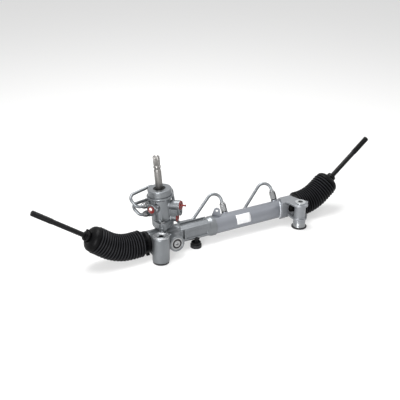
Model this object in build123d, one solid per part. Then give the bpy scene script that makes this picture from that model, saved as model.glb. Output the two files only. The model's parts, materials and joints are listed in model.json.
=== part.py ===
from build123d import *
import math
import os

# Power steering rack for a front axle, in millimetres.
# X runs along the rack, Y points to the rear and Z up. The origin lies on the axis
# of the left mounting eye, level with the rack. Most pieces are drawn about the rack
# axis and moved back by rack_setback when they are written.

# Rack and its travel, as it lies in the picture
rack_diameter = 26.0
rack_setback = 48.4
ball_left_x = -92.3
ball_right_x = 469.0
travel_left = 54.0
travel_right = 70.0
stop_gap = 0.4
rack_clearance = 0.3

# Rack and pinion gear
tooth_module = 1.91
pinion_teeth = 8
pressure_angle = 25.0
rack_addendum = 1.34
pinion_addendum = 1.76
tooth_root_gap = 0.35
backlash = 0.16
pitch_line_height = 9.0
pinion_x = 43.0
pinion_lean = 4.0
gear_roll = 4.0
pinion_face_low = -12.0
pinion_face_high = 13.0
tooth_run_out = 10.0

# Cast housing round the rack
floor_drop = 35.2
housing_radius = 26.5
housing_end_x = -24.0
boot_seat_x = -12.0
spigot_radius = 23.0
spigot_bore_radius = 20.0
gear_case_end_x = 72.0
gear_case_slot_width = 4.0
long_case_radius = 22.5
long_case_front = 23.5
long_case_top = 24.0
long_case_rib_top = 26.5
long_case_rib_width = 3.2
long_case_end_x = 152.0
pocket_start_x = 84.0
pocket_end_x = 146.0
pocket_low = -6.0
pocket_high = 12.0
pocket_depth = 3.5
channel_width = 9.0
channel_depth = 3.4
tube_start_x = 163.0
tube_socket_end_x = 173.0
tube_collar_radius = 25.2
casting_rib_thickness = 5.0

# Left mounting eye
eye_radius = 21.0
eye_bottom = -31.0
eye_top = 33.0
eye_web_half_width = 15.0
eye_web_half_height = 24.0
bush_radius = 15.0
sleeve_radius = 9.0
left_sleeve_bore_radius = 6.25
sleeve_top = 34.35
sleeve_bottom = -34.4
bush_flange_radius = 19.6

# Right mounting bracket
right_eye_x = 400.0
right_eye_offset = 54.7
bracket_start_x = 373.0
bracket_collar_end_x = 382.0
bracket_end_x = 404.0
bracket_collar_radius = 27.0
bracket_edge_turn = 22.0
bracket_side_y = -30.0
bracket_window_radius = 13.0
bracket_window_x = 395.0
bracket_plate_top = 31.5
bracket_plate_thickness = 4.5
bracket_plate_radius = 20.0
bracket_lower_top = -6.0
bracket_pad_radius = 18.6
bracket_pad_height = 2.0
bracket_shell_radius = 14.6
bracket_ear_radius = 5.5
right_sleeve_bore_radius = 6.4
right_washer_radius = 13.5
right_washer_thickness = 3.9
neck_radius = 15.8
neck_bottom = -21.0
right_foot_radius = 20.0

# Cylinder tube and what it holds
tube_radius = 23.0
tube_bore_radius = 20.0
tube_end_x = 416.6
inner_bulkhead_end_x = 206.0
outer_bulkhead_start_x = 371.0
rack_seal_length = 7.0
rack_seal_radius = 17.0
piston_length = 18.0
piston_centre_x = 282.0
piston_radius = 19.5
piston_ring_radius = 19.92
piston_ring_width = 4.0
piston_ring_depth = 2.4
piston_seat_radius = 11.5

# Cylinder ports
port_angle = 33.0
left_port_x = 214.7
right_port_x = 365.5
port_boss_radius = 8.6
port_boss_height = 24.6
port_hole_radius = 3.0
port_seal_radius = 7.9
port_seal_thickness = 2.0
nut_across_flats = 14.0
port_nut_length = 21.5
port_nut_collar_radius = 6.2
port_nut_collar_length = 3.5

# Pressure pipes, with the corners of their runs behind the tower and along the tube
pipe_radius = 3.9
pipe_bore_radius = 2.6
hoop_reach = 98.0
hoop_radius = 19.0
pipe_port_reach = 30.0
left_pipe_level = 88.0
left_pipe_corners = [(-38, 52, 105), (30, 64, 113), (84, 56, 100), (88, 31, 12), (132, 31, 11)]
left_pipe_bends = [14, 14, 20, 12, 12, 16]
right_pipe_level = 67.0
right_pipe_corners = [(-32, 48, 82), (28, 60, 82), (74, 56, 74), (80, 38, -4), (284, 36, -4)]
right_pipe_bends = [12, 12, 20, 12, 12, 14]

# Pinion shaft, its bearings and seals, along the tower axis
journal_radius = 6.0
pinion_bottom = -29.4
bearing_low = -24.0
bearing_high = -14.0
bearing_radius = 16.0
bearing_ball_radius = 3.17
bearing_pitch_radius = 11.0
bearing_ball_count = 8
ball_groove_gap = 0.07
nut_radius = 8.5
nut_bottom = -29.4
bottom_plug_radius = 17.5
bottom_plug_high = -24.6
pinion_neck_radius = 10.0
fit_gap = 0.05
bush_low = 16.0
bush_high = 27.0
bush_outer_radius = 14.0
oil_seal_low = 29.0
oil_seal_high = 35.0
oil_seal_radius = 15.5
torsion_bar_radius = 2.6
torsion_bar_low = 2.0
torsion_bar_high = 192.0
head_radius = 15.5
head_low = 41.0
head_high = 49.0
head_pocket_depth = 4.0

# Tower: pinion case, valve housing and cap
case_radius = 22.0
case_bottom = -30.9
joint_level = 38.0
case_flange_radius = 26.5
case_flange_thickness = 8.0
tower_radius = 26.0
tower_ring_radius = 33.0
tower_ring_low = 103.5
tower_top = 108.0
cap_radius = 29.3
cap_top = 125.0
cap_chamfer = 1.6
cap_spigot_depth = 6.0
cap_spigot_radius = 22.3
valve_bore_radius = 17.2
valve_sleeve_gap = 0.08
sleeve_end = 98.0
valve_ring_width = 2.4
valve_ring_depth = 1.8
valve_ring_count = 4
valve_ring_stand = 0.4
shaft_bearing_radius = 14.5
shaft_bearing_low = 108.5
shaft_bearing_high = 117.0
dust_seal_radius = 15.0
dust_seal_low = 118.0
dust_seal_high = 123.4
bolt_circle_radius = 36.0
bolt_angle = -118.0
bolt_lug_radius = 9.5
bolt_lug_thickness = 10.0
bolt_radius = 4.0
bolt_hole_gap = 0.15
bolt_head_radius = 6.3
bolt_head_height = 7.0
bolt_length = 16.0
bolt_turn = 25.0

# Input shaft
shaft_radius = 9.0
shaft_bottom = 45.4
shaft_tip = 208.0
spline_radius = 8.25
spline_length = 22.0
shaft_bore_radius = 3.1
shaft_groove_depth = 1.1
shaft_groove_width = 3.0
shaft_flat_depth = 2.2
pin_radius = 1.5
pin_level = 180.0

# Hydraulic ports on the tower
side_block_angle = -50.0
side_block_reach = 51.0
side_port_upper = 83.0
side_port_lower = 49.0
side_port_step = 12.0
side_screw_hole_radius = 3.2
side_boss_upper_radius = 12.0
side_boss_lower_radius = 9.8
side_block_half_width = 9.0
port_flange_thickness = 6.0
front_block_angle = -152.0
front_block_level = 84.0
front_block_reach = 41.0
front_boss_radius = 13.0
front_ear_radius = 4.5
front_ear_rise = 21.0
front_ear_shift = -12.0
front_side_ear_shift = 12.0
screw_boss_radius = 4.8
screw_boss_reach = 31.0
screw_boss_level = 98.0
port_bore_radius = 6.0
plug_cap_thickness = 2.2
plug_stem_radius = 5.8
plug_stem_length = 7.0
plug_pull_radius = 2.2
plug_pull_length = 14.0

# Yoke, pressed against the back of the rack from the front
yoke_boss_radius = 20.0
yoke_face = 51.0
yoke_radius = 14.0
yoke_bore_gap = 0.08
yoke_back = 36.0
yoke_front = 6.0
liner_thickness = 0.8
liner_half_angle = 50.0
spring_radius = 8.0
spring_wire_radius = 1.3
spring_pitch = 3.4
spring_pocket_depth = 7.5
plug_inner = 41.5
plug_socket_radius = 4.2
plug_centre_radius = 8.0
lock_ring_radius = 12.3
lock_ring_recess = 1.5

# Ball joints and tie rods
rod_tilt = 33.5
rod_swing = 6.3
rod_length = 240.0
rod_thread_length = 55.0
rod_thread_radius = 7.0
rod_shank_radius = 6.2
rod_neck_radius = 4.9
rod_neck_length = 26.0
rod_ball_radius = 13.4
seat_gap = 0.08
seat_thickness = 1.9
socket_radius = 19.5
socket_back = 28.0
socket_front = 10.5
socket_mouth_angle = 57.0
socket_flat_width = 34.0
lock_washer_thickness = 1.6
lock_washer_radius = 17.0

# Bellows boots
boot_crest_radius = 32.5
boot_root_radius = 29.4
boot_fold_pitch = 7.15
boot_crest_width = 1.2
boot_wall = 1.8
boot_cuff_thickness = 2.6
boot_cuff_gap = 0.3
boot_shoulder_length = 6.0
boot_straight_run = 4.4
boot_end_reach = 66.0
boot_neck_start = 84.0
boot_neck_end = 97.0
boot_neck_radius = 10.4
boot_neck_gap = 0.3
right_cuff_start_x = 384.0
clamp_thickness = 1.4
clamp_width = 7.0
clamp_knob_radius = 4.2
clamp_knob_angle = 163.0
clip_width = 4.0
clip_thickness = 1.6
clip_gap = 0.2
clip_knob_radius = 3.4

# Small pieces on the outside
foot_x = 112.0
foot_y = -21.5
foot_radius = 14.0
foot_height = 12.0
foot_rubber_height = 8.0
tab_x = 184.0
tab_width = 24.0
tab_top_radius = 8.0
tab_height = 24.0
tab_thickness = 3.0
tab_hole_radius = 3.2
tab_turn = 30.0

# What follows from the sizes above
rack_radius = rack_diameter / 2
pitch_radius = tooth_module * pinion_teeth / 2
pinion_offset = pitch_line_height + pitch_radius
pinion_outer_radius = pitch_radius + pinion_addendum
pinion_root_radius = pitch_radius - rack_addendum - tooth_root_gap
base_radius = pitch_radius * math.cos(math.radians(pressure_angle))
rack_bore_radius = rack_radius + rack_clearance
left_stop_x = ball_left_x + socket_back + lock_washer_thickness + travel_right + stop_gap
right_stop_x = ball_right_x - socket_back - lock_washer_thickness - travel_left - stop_gap
bearing_middle = (bearing_low + bearing_high) / 2
tower_rise = math.cos(math.radians(pinion_lean)) * math.cos(math.radians(gear_roll))
tower_slope = math.sqrt(1 - tower_rise ** 2)
plug_height = floor_drop - pinion_offset * math.sin(math.radians(gear_roll)) - bottom_plug_radius * tower_slope
bottom_plug_low = -plug_height / tower_rise
rod_seat_radius = rod_ball_radius + seat_gap + seat_thickness
boot_bend_reach = ball_right_x - tube_end_x - boot_shoulder_length - boot_straight_run
seat_length = boot_seat_x - housing_end_x

low_end = (Align.CENTER, Align.CENTER, Align.MIN)
gear_frame = Rot(-gear_roll, 0, 0)
tower_frame = gear_frame * Pos(pinion_x, pinion_offset, 0) * Rot(0, -pinion_lean, 0)


def bar_x(radius, start, end, y=0.0, z=0.0):
    return Pos(start, y, z) * Rot(0, 90, 0) * Cylinder(radius, end - start, align=low_end)


def bar_y(radius, start, end, x=0.0, z=0.0):
    return Pos(x, start, z) * Rot(-90, 0, 0) * Cylinder(radius, end - start, align=low_end)


def bar_z(radius, bottom, top, x=0.0, y=0.0):
    return Pos(x, y, bottom) * Cylinder(radius, top - bottom, align=low_end)


def cone_z(low_radius, high_radius, bottom, top):
    return Pos(0, 0, bottom) * Cone(low_radius, high_radius, top - bottom, align=low_end)


def block(x_range, y_range, z_range):
    size = [high - low for low, high in (x_range, y_range, z_range)]
    middle = [(high + low) / 2 for low, high in (x_range, y_range, z_range)]
    return Pos(*middle) * Box(*size)


def ring_x(radius, bore, start, end):
    return bar_x(radius, start, end) - bar_x(bore, start - 1, end + 1)


def ring_z(radius, bore, bottom, top):
    return bar_z(radius, bottom, top) - bar_z(bore, bottom - 1, top + 1)


def around(angle, radius=0.0, level=0.0):
    # A place beside the tower axis whose own X points outwards at the angle
    return Rot(0, 0, angle) * Pos(radius, 0, level)


# Rack bar: a ground round bar with a flat of straight teeth cut square to the pinion
def make_rack_bar():
    start = ball_left_x + socket_back + lock_washer_thickness
    end = ball_right_x - socket_back - lock_washer_thickness
    bar = bar_x(rack_radius, start, end)
    tip = pitch_line_height + rack_addendum
    root = pitch_line_height - pinion_addendum - tooth_root_gap
    toothed_start = pinion_x - travel_right - tooth_run_out
    toothed_end = pinion_x + travel_left + tooth_run_out
    bar -= block((toothed_start, toothed_end), (tip, rack_radius + 1), (-rack_radius, rack_radius))
    slope = math.tan(math.radians(pressure_angle))
    normal_pitch = math.pi * tooth_module
    half_gap = normal_pitch / 4 + backlash / 2
    low_half = half_gap - (pitch_line_height - root) * slope
    high = tip + 1
    high_half = half_gap + (high - pitch_line_height) * slope
    outline = Polyline((-low_half, root), (low_half, root), (high_half, high), (-high_half, high), close=True)
    gap = extrude(make_face(outline), amount=rack_radius + 4, both=True)
    pitch = normal_pitch / math.cos(math.radians(pinion_lean))
    first = math.ceil((toothed_start - pinion_x) / pitch)
    last = math.floor((toothed_end - pinion_x) / pitch)
    cutters = [Pos(pinion_x + k * pitch, 0, 0) * Rot(0, -pinion_lean, 0) * gap for k in range(first, last + 1)]
    bar -= cutters
    groove = ring_x(rack_radius + 1, piston_seat_radius, piston_centre_x - piston_length / 2,
                    piston_centre_x + piston_length / 2)
    return gear_frame * (bar - groove)


def make_piston():
    half = piston_length / 2
    body = ring_x(piston_radius, piston_seat_radius, piston_centre_x - half, piston_centre_x + half)
    groove_floor = piston_ring_radius - piston_ring_depth
    groove_half = piston_ring_width / 2
    return body - ring_x(piston_ring_radius + 1, groove_floor, piston_centre_x - groove_half,
                         piston_centre_x + groove_half)


def make_piston_ring():
    half = piston_ring_width / 2
    groove_floor = piston_ring_radius - piston_ring_depth
    return ring_x(piston_ring_radius, groove_floor, piston_centre_x - half, piston_centre_x + half)


# Pinion: eight involute teeth on one shaft with its journals and the valve head
def involute(angle):
    return math.tan(angle) - angle


def half_tooth_angle(radius):
    thickness = math.pi * tooth_module / 2 - backlash
    flank = math.acos(min(1.0, base_radius / radius))
    return thickness / (2 * pitch_radius) + involute(math.radians(pressure_angle)) - involute(flank)


def make_pinion():
    steps = 5
    radii = [base_radius + (pinion_outer_radius - base_radius) * i / steps for i in range(steps + 1)]
    points = []
    for tooth in range(pinion_teeth):
        middle = -math.pi / 2 + tooth * 2 * math.pi / pinion_teeth
        rising = [(pinion_root_radius, -half_tooth_angle(base_radius))]
        rising += [(radius, -half_tooth_angle(radius)) for radius in radii]
        falling = [(radius, -angle) for radius, angle in reversed(rising)]
        for radius, angle in rising + falling:
            points.append((radius * math.cos(middle + angle), radius * math.sin(middle + angle)))
    face = make_face(Polyline(*points, close=True))
    gear = Pos(0, 0, pinion_face_low) * extrude(face, amount=pinion_face_high - pinion_face_low)
    shaft = bar_z(journal_radius, pinion_bottom, pinion_face_low)
    shaft += bar_z(pinion_neck_radius, pinion_face_high, head_low)
    shaft += bar_z(head_radius, head_low, head_high)
    pocket = bar_z(shaft_radius + fit_gap, head_high - head_pocket_depth, head_high + 1)
    bore = bar_z(torsion_bar_radius, torsion_bar_low, head_high + 1)
    return tower_frame * (gear + shaft - pocket - bore)


def make_torsion_bar():
    return tower_frame * bar_z(torsion_bar_radius, torsion_bar_low, torsion_bar_high)


def make_valve_sleeve():
    radius = valve_bore_radius - valve_sleeve_gap - valve_ring_stand
    sleeve = ring_z(radius, shaft_radius + fit_gap, head_high, sleeve_end)
    for level in valve_ring_levels():
        sleeve -= ring_z(radius + 1, radius - valve_ring_depth, level, level + valve_ring_width)
    return tower_frame * sleeve


def valve_ring_levels():
    spacing = (sleeve_end - head_high) / (valve_ring_count + 1)
    return [head_high + spacing * (i + 1) - valve_ring_width / 2 for i in range(valve_ring_count)]


def make_valve_rings():
    outer = valve_bore_radius - valve_sleeve_gap
    inner = outer - valve_ring_stand - valve_ring_depth
    rings = [ring_z(outer, inner, level, level + valve_ring_width) for level in valve_ring_levels()]
    return tower_frame * Compound(children=rings)


def ball_track():
    place = Pos(bearing_pitch_radius, 0, bearing_middle) * Rot(90, 0, 0)
    circle = place * Circle(bearing_ball_radius + ball_groove_gap)
    return revolve(circle, axis=Axis.Z)


def make_inner_race():
    race = ring_z(bearing_pitch_radius - 1.9, journal_radius, bearing_low, bearing_high)
    return tower_frame * (race - ball_track())


def make_outer_race():
    race = ring_z(bearing_radius, bearing_pitch_radius + 1.9, bearing_low, bearing_high)
    return tower_frame * (race - ball_track())


def ball_places():
    step = 360 / bearing_ball_count
    return [around(i * step, bearing_pitch_radius, bearing_middle) for i in range(bearing_ball_count)]


def make_bearing_balls():
    balls = [place * Sphere(bearing_ball_radius) for place in ball_places()]
    return tower_frame * Compound(children=balls)


def make_bearing_cage():
    cage = ring_z(bearing_pitch_radius + 0.6, bearing_pitch_radius - 0.6, bearing_low + 1, bearing_high - 1)
    for place in ball_places():
        cage -= place * Rot(0, 90, 0) * Cylinder(bearing_ball_radius + ball_groove_gap, 6)
    return tower_frame * cage


def make_pinion_nut():
    nut = extrude(RegularPolygon(nut_radius, 6), amount=bearing_low - nut_bottom)
    return tower_frame * (Pos(0, 0, nut_bottom) * nut - bar_z(journal_radius, nut_bottom - 1, bearing_low + 1))


def make_bottom_plug():
    plug = bar_z(bottom_plug_radius, bottom_plug_low, bottom_plug_high)
    plug -= bar_z(nut_radius + 1, bottom_plug_low + 2.4, bottom_plug_high + 1)
    plug -= Pos(0, 0, bottom_plug_low) * extrude(RegularPolygon(5, 6), amount=1.4)
    return tower_frame * plug


def make_pinion_bush():
    return tower_frame * ring_z(bush_outer_radius, pinion_neck_radius + fit_gap, bush_low, bush_high)


def make_pinion_seal():
    return tower_frame * ring_z(oil_seal_radius, pinion_neck_radius + fit_gap, oil_seal_low, oil_seal_high)


# Input shaft: plain lower part, a locking groove with a flat, and a splined tip
def make_input_shaft():
    spline_low = shaft_tip - spline_length
    shaft = bar_z(shaft_radius, shaft_bottom, spline_low)
    tip = bar_z(spline_radius, spline_low, shaft_tip)
    shaft += chamfer(tip.edges().group_by(Axis.Z)[-1], 1.2)
    groove_top = spline_low - 1.5
    groove_bottom = groove_top - shaft_groove_width
    shaft -= ring_z(shaft_radius + 1, shaft_radius - shaft_groove_depth, groove_bottom, groove_top)
    flat = block((shaft_radius - shaft_flat_depth, shaft_radius + 2), (-shaft_radius, shaft_radius),
                 (groove_top - 12, groove_top - 4))
    shaft -= Rot(0, 0, 40) * flat
    shaft -= bar_z(shaft_bore_radius, shaft_bottom - 1, pin_level - 6)
    shaft -= bar_z(torsion_bar_radius + fit_gap, shaft_bottom - 1, torsion_bar_high + 0.2)
    shaft -= bar_x(pin_radius, -shaft_radius - 1, shaft_radius + 1, z=pin_level)
    return tower_frame * shaft


def make_drive_pin():
    # The short cross pin that fixes the top of the torsion bar in the input shaft
    length = shaft_radius - shaft_groove_depth
    pin = bar_x(pin_radius, -length, length, z=pin_level)
    return tower_frame * (pin - bar_z(torsion_bar_radius + fit_gap, pin_level - 5, pin_level + 5))


# Cast aluminium housing round the rack, with the eye, the yoke boss and the ribbed end
def bolt_places():
    return [around(bolt_angle + 180 * i, bolt_circle_radius, joint_level) for i in range(2)]


def bolt_lug_outline():
    # The lug's rounded end, drawn out tangent to the round case that it grows from
    root = Pos(-bolt_circle_radius, 0) * Circle(case_flange_radius)
    return make_hull(Circle(bolt_lug_radius).edges() + root.edges())


def make_eye():
    eye = bar_z(eye_radius, eye_bottom, eye_top, y=-rack_setback)
    web = block((boot_seat_x, eye_web_half_width), (-rack_setback, 0),
                (-eye_web_half_height, eye_web_half_height))
    return chamfer(eye.edges(), 1.2) + web


def make_pinion_case():
    case = bar_z(case_radius, case_bottom, joint_level)
    flange_low = joint_level - case_flange_thickness
    case += bar_z(case_flange_radius, flange_low, joint_level)
    case += cone_z(case_radius, case_flange_radius, flange_low - case_flange_thickness, flange_low)
    for place in bolt_places():
        case += place * extrude(bolt_lug_outline(), amount=-case_flange_thickness)
        boss = cone_z(bolt_lug_radius - 2.5, bolt_lug_radius, -bolt_length - 3, -case_flange_thickness)
        case += place * boss
    return tower_frame * case


def make_long_case():
    # The cast arm to the tube: flat in front and on top, round below, with a rib at the back
    # of its top, a shallow channel before that, and a pocket in its front
    round_part = bar_x(long_case_radius, gear_case_end_x, tube_start_x)
    corner = long_case_front - 2.5
    outline = Polyline((-corner, long_case_top - 4), (-6, long_case_top), (8, long_case_top), (14, 14),
                       (14, -10), (-12, -16), (-long_case_front, -10), close=True)
    flat_part = Plane.YZ * make_face(outline)
    length = long_case_end_x - gear_case_end_x
    arm = round_part + Pos(gear_case_end_x, 0, 0) * extrude(flat_part, amount=length)
    rib_y = 4.0
    arm += block((gear_case_end_x, long_case_end_x), (rib_y, rib_y + long_case_rib_width),
                 (0, long_case_rib_top))
    arm -= block((gear_case_end_x + 6, long_case_end_x - 4), (rib_y - channel_width, rib_y),
                 (long_case_top - channel_depth, long_case_top + 5))
    pocket = block((pocket_start_x, pocket_end_x), (-long_case_front - 5, -long_case_front + pocket_depth),
                   (pocket_low, pocket_high))
    arm -= fillet(pocket.edges().filter_by(Axis.Y), 3)
    slot_x = gear_case_end_x + 3
    arm -= block((slot_x, slot_x + gear_case_slot_width), (-long_case_front - 5, -long_case_front + 6),
                 (pocket_low, long_case_top - 6))
    flare = Cone(long_case_radius, tube_collar_radius, tube_start_x - long_case_end_x, align=low_end)
    arm += Pos(long_case_end_x, 0, 0) * Rot(0, 90, 0) * flare
    return arm + bar_x(tube_collar_radius, tube_start_x, tube_socket_end_x)


def upright_rib(foot, head):
    # A rib that stands on the rack's axis plane under a sloping line from foot to head
    run = Vector(head[0] - foot[0], head[1] - foot[1], 0)
    plane = Plane(origin=(foot[0], foot[1], 0), x_dir=run, z_dir=run.normalized().cross(Vector(0, 0, 1)))
    outline = Polyline((0, 0), (0, foot[2]), (run.length, head[2]), (run.length, 0), close=True)
    return extrude(plane * make_face(outline), amount=casting_rib_thickness / 2, both=True)


def make_housing_ribs():
    # Two ribs spread from under the front bolt lug to the eye and to the yoke boss
    lug = tower_frame * bolt_places()[0]
    head = (lug.position.X, lug.position.Y, lug.position.Z - case_flange_thickness)
    eye_foot = (4, eye_radius - rack_setback - 8, eye_top - 3)
    yoke_foot = (pinion_x - 2, -yoke_boss_radius - 14, yoke_boss_radius - 3)
    return upright_rib(eye_foot, head) + upright_rib(yoke_foot, head)


def make_pinion_housing():
    body = bar_x(housing_radius, boot_seat_x, gear_case_end_x)
    body += bar_x(spigot_radius, housing_end_x, boot_seat_x)
    body += make_eye()
    boss = bar_y(yoke_boss_radius, -yoke_face, 0, x=pinion_x)
    boss += block((pinion_x - yoke_boss_radius, pinion_x + yoke_boss_radius), (-30, 0),
                  (-yoke_boss_radius, yoke_boss_radius))
    body += gear_frame * boss
    body += make_pinion_case()
    body += make_long_case()
    body += make_housing_ribs()
    body -= bar_x(rack_bore_radius, housing_end_x - 1, tube_socket_end_x + 1)
    body -= bar_x(spigot_bore_radius, housing_end_x - 1, left_stop_x)
    body -= bar_x(tube_radius, tube_start_x, tube_socket_end_x + 1)
    body -= bar_z(bush_radius, eye_bottom - 1, eye_top + 20, y=-rack_setback)
    body -= tower_frame * bar_z(bolt_circle_radius + 20, joint_level, joint_level + 40)
    body -= gear_frame * bar_y(yoke_radius + yoke_bore_gap, -yoke_face - 1, 0, x=pinion_x)
    body -= gear_frame * bar_y(yoke_radius + 1.5, -yoke_face - 1, -plug_inner, x=pinion_x)
    bore = bar_z(bottom_plug_radius, case_bottom - 2, bottom_plug_high)
    bore += bar_z(bearing_radius, bearing_low - 1, bearing_high)
    bore += bar_z(pinion_outer_radius + 1, bearing_high - 1, bush_low)
    bore += bar_z(bush_outer_radius, bush_low, bush_high)
    bore += bar_z(pinion_neck_radius + 1.5, bush_high - 1, oil_seal_low + 1)
    bore += bar_z(oil_seal_radius, oil_seal_low, joint_level + 1)
    for place in bolt_places():
        bore += place * bar_z(bolt_radius + bolt_hole_gap, -bolt_length, 1)
    return body - tower_frame * bore


# Tower: the valve housing that stands on the pinion case, with its port blocks
def side_port_places():
    outward = Rot(0, 90, 0)
    upper = around(side_block_angle, side_block_reach, side_port_upper) * outward
    lower = around(side_block_angle, side_block_reach - side_port_step, side_port_lower) * outward
    return upper, lower


def front_port_place():
    return around(front_block_angle, front_block_reach, front_block_level) * Rot(0, 90, 0)


def pipe_port_places():
    # Where the two pressure pipes leave the tower, to the left
    outward = Rot(0, -90, 0)
    upper = Pos(-pipe_port_reach, 6, left_pipe_level) * outward
    lower = Pos(-pipe_port_reach, 4, right_pipe_level) * outward
    return upper, lower


def side_port_flange(place, radius, other_radius):
    # One of the two overlapping pads that the side ports open in
    rise = side_port_upper - side_port_lower
    outline = make_hull((Circle(radius) + Pos(rise / 2, 0) * Circle(other_radius)).edges())
    return place * extrude(outline, amount=-port_flange_thickness)


def make_valve_housing():
    body = bar_z(tower_radius, joint_level, tower_top)
    body += bar_z(tower_ring_radius, tower_ring_low, tower_top)
    body += cone_z(tower_radius, tower_ring_radius, tower_ring_low - 4, tower_ring_low)
    for place in bolt_places():
        body += place * extrude(bolt_lug_outline(), amount=bolt_lug_thickness)
    upper, lower = side_port_places()
    body += upper * bar_z(side_boss_upper_radius, -side_block_reach + 4, 0)
    body += lower * bar_z(side_boss_lower_radius, -side_block_reach + 10, 0)
    body += side_port_flange(upper, side_boss_upper_radius, side_boss_lower_radius)
    wall = block((15, side_block_reach - port_flange_thickness),
                 (-side_block_half_width, side_block_half_width),
                 (side_port_lower + side_boss_lower_radius - 1, side_port_upper + 6))
    body += around(side_block_angle) * wall
    front = front_port_place()
    body += front * bar_z(front_boss_radius, -front_block_reach + 6, 0)
    upper_ear = Pos(-front_ear_rise, front_ear_shift) * Circle(front_ear_radius)
    side_ear = Pos(0, front_side_ear_shift) * Circle(front_ear_radius)
    plate = make_hull(Circle(front_boss_radius).edges() + upper_ear.edges() + side_ear.edges())
    body += front * extrude(plate, amount=-port_flange_thickness)
    body += around(front_block_angle, 0, screw_boss_level) * bar_x(screw_boss_radius, 15, screw_boss_reach)
    for place in pipe_port_places():
        body += place * bar_z(9.5, -24, 4)
    body -= bar_z(valve_bore_radius, joint_level - 1, tower_top - cap_spigot_depth)
    body -= bar_z(cap_spigot_radius, tower_top - cap_spigot_depth, tower_top + 1)
    body -= front * bar_z(port_bore_radius, -12, 1)
    for place in (upper, lower):
        body -= place * bar_z(port_bore_radius, -14, 1)
    rise = side_port_upper - side_port_lower
    body -= upper * bar_z(side_screw_hole_radius, -port_flange_thickness - 3, 1, x=rise / 2)
    for place in pipe_port_places():
        body -= place * bar_z(pipe_radius, -8, 5)
    for place in bolt_places():
        body -= place * bar_z(bolt_radius + bolt_hole_gap, -1, bolt_lug_thickness + 1)
        body -= place * bar_z(bolt_head_radius + 0.5, bolt_lug_thickness - 3, bolt_lug_thickness + 1)
    return tower_frame * body


def make_valve_bolts():
    bolts = []
    for corner in bolt_places():
        place = corner * Rot(0, 0, bolt_turn)
        bolt = bar_z(bolt_radius, -bolt_length + 1, bolt_lug_thickness - 3)
        bolt += bar_z(bolt_head_radius, bolt_lug_thickness - 3, bolt_lug_thickness - 3 + bolt_head_height)
        socket = Pos(0, 0, bolt_lug_thickness + 0.5) * extrude(RegularPolygon(3.4, 6), amount=bolt_head_height)
        bolts.append(place * (bolt - socket))
    return tower_frame * Compound(children=bolts)


def make_tower_cap():
    cap = bar_z(cap_radius, tower_top, cap_top)
    cap = chamfer(cap.edges().group_by(Axis.Z)[-1], cap_chamfer)
    cap += bar_z(cap_spigot_radius, tower_top - cap_spigot_depth, tower_top)
    cap -= bar_z(valve_bore_radius, tower_top - cap_spigot_depth - 1, tower_top - 3)
    cap -= bar_z(shaft_radius + 1.2, tower_top - 10, cap_top + 1)
    cap -= bar_z(shaft_bearing_radius, shaft_bearing_low, shaft_bearing_high)
    cap -= bar_z(dust_seal_radius, dust_seal_low, cap_top + 1)
    return tower_frame * cap


def make_shaft_bearing():
    bearing = ring_z(shaft_bearing_radius, shaft_radius + fit_gap, shaft_bearing_low, shaft_bearing_high)
    return tower_frame * bearing


def make_dust_seal():
    seal = ring_z(dust_seal_radius, shaft_radius + fit_gap, dust_seal_low, dust_seal_high)
    groove = ring_z(dust_seal_radius - 2, shaft_radius + 1.6, dust_seal_high - 1.5, dust_seal_high + 1)
    return tower_frame * (seal - groove)


# Yoke: a slipper with a low-friction liner, a spring and its plug
def make_yoke():
    yoke = bar_y(yoke_radius, -yoke_back, -yoke_front, x=pinion_x)
    yoke -= bar_x(rack_radius + fit_gap + liner_thickness, pinion_x - 20, pinion_x + 20)
    pocket_radius = spring_radius + spring_wire_radius + 0.6
    yoke -= bar_y(pocket_radius, -yoke_back - 1, -yoke_back + spring_pocket_depth, x=pinion_x)
    return gear_frame * yoke


def make_yoke_liner():
    bore = rack_radius + fit_gap
    liner = ring_x(bore + liner_thickness, bore, pinion_x - 20, pinion_x + 20)
    reach = (rack_radius + 2) * math.cos(math.radians(liner_half_angle))
    liner &= bar_y(yoke_radius - 0.5, -30, -reach, x=pinion_x)
    return gear_frame * liner


def make_yoke_spring():
    inner_end = yoke_back - spring_pocket_depth
    height = plug_inner - inner_end - 2 * spring_wire_radius
    path = Helix(pitch=spring_pitch, height=height, radius=spring_radius)
    wire = Plane(origin=path @ 0, z_dir=path % 0) * Circle(spring_wire_radius)
    spring = sweep(wire, path=path, is_frenet=True)
    place = Pos(pinion_x, -inner_end - spring_wire_radius, 0) * Rot(90, 0, 0)
    return gear_frame * place * spring


def make_yoke_plug():
    plug = bar_y(yoke_radius + 1.5, -yoke_face + 1.0, -plug_inner, x=pinion_x)
    plug -= bar_y(lock_ring_radius, -yoke_face - 1, -yoke_face + 3.5, x=pinion_x)
    plug += bar_y(plug_centre_radius, -yoke_face + 0.6, -plug_inner, x=pinion_x)
    hexagon = extrude(RegularPolygon(plug_socket_radius, 6), amount=-5)
    socket = Pos(pinion_x, -yoke_face, 0) * Rot(90, 0, 0) * hexagon
    return gear_frame * (plug - socket)


def make_yoke_lock_ring():
    ring = bar_y(lock_ring_radius, -yoke_face + lock_ring_recess, -yoke_face + 3.5, x=pinion_x)
    return gear_frame * (ring - bar_y(plug_centre_radius, -yoke_face - 1, -plug_inner, x=pinion_x))


# Cylinder tube with the two port bosses, and the parts that close the cylinder
def port_place(x):
    return Pos(x, 0, 0) * Rot(-port_angle, 0, 0)


def make_cylinder_tube():
    tube = bar_x(tube_radius, tube_start_x, tube_end_x)
    for x in (left_port_x, right_port_x):
        tube += port_place(x) * bar_z(port_boss_radius, tube_bore_radius, port_boss_height)
    tube -= bar_x(tube_bore_radius, tube_start_x - 1, tube_end_x + 1)
    for x in (left_port_x, right_port_x):
        tube -= port_place(x) * bar_z(port_hole_radius, 0, port_boss_height + 1)
    return tube


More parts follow.
